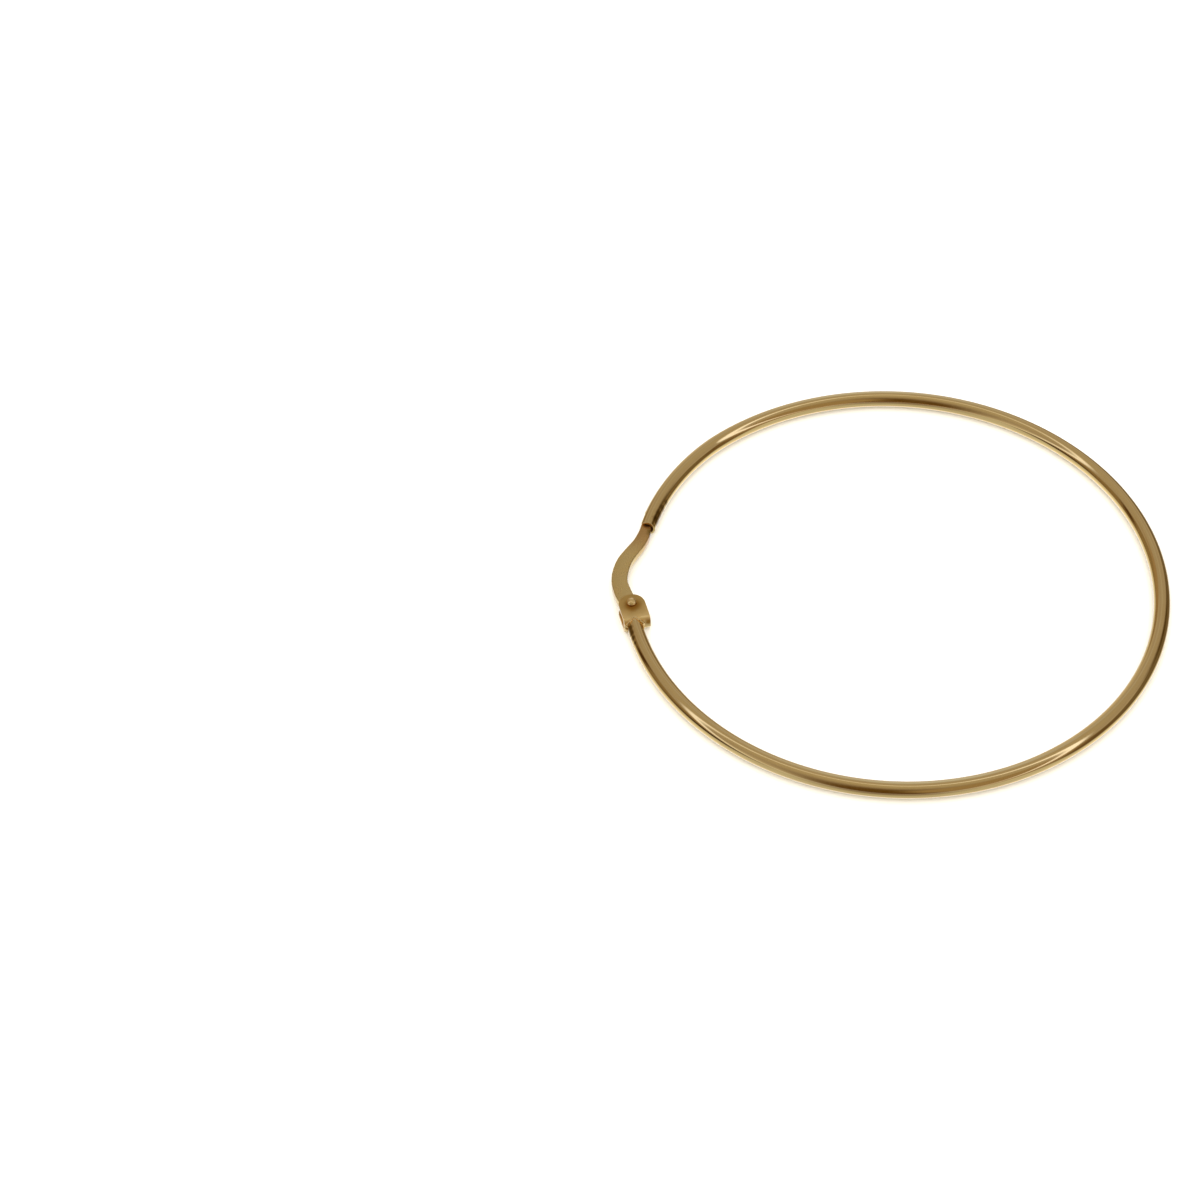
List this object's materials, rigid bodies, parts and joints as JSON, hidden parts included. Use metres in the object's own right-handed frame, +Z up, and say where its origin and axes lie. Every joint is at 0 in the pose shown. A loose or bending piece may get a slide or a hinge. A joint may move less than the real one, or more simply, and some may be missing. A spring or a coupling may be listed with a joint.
{
  "type": "hoop earring",
  "caption": "Thin round tube hoop earring with a hinged flat swan-neck ear wire that closes into the tube's open mouth.",
  "frame": {"origin": "centre of the ring's circle, on the surface that the earring lies on", "axes": "+Z up, along the ring's axis and the hinge pin; -X from the centre towards the closure; +Y from the hinge towards the tube's mouth"},
  "size_m": [0.0508, 0.05, 0.0018],
  "materials": {
    "tube_gold": "polished yellow gold",
    "pin_gold": "hammered rivet head in yellow gold, softly bright",
    "wire_gold": "stamped yellow gold strip, satin from wear"
  },
  "bodies": {
    "hoop": {"hoop_tube": "tube_gold", "hinge_pin": "pin_gold"},
    "ear_wire": {"ear_wire": "wire_gold"}
  },
  "joints": [
    {"name": "ear_wire_hinge", "type": "hinge", "parent": "hoop", "child": "ear_wire", "pos_m": [-0.02364, -0.0051, 0.00075], "axis": [0, 0, 1], "range_deg": [0, 100]}
  ]
}
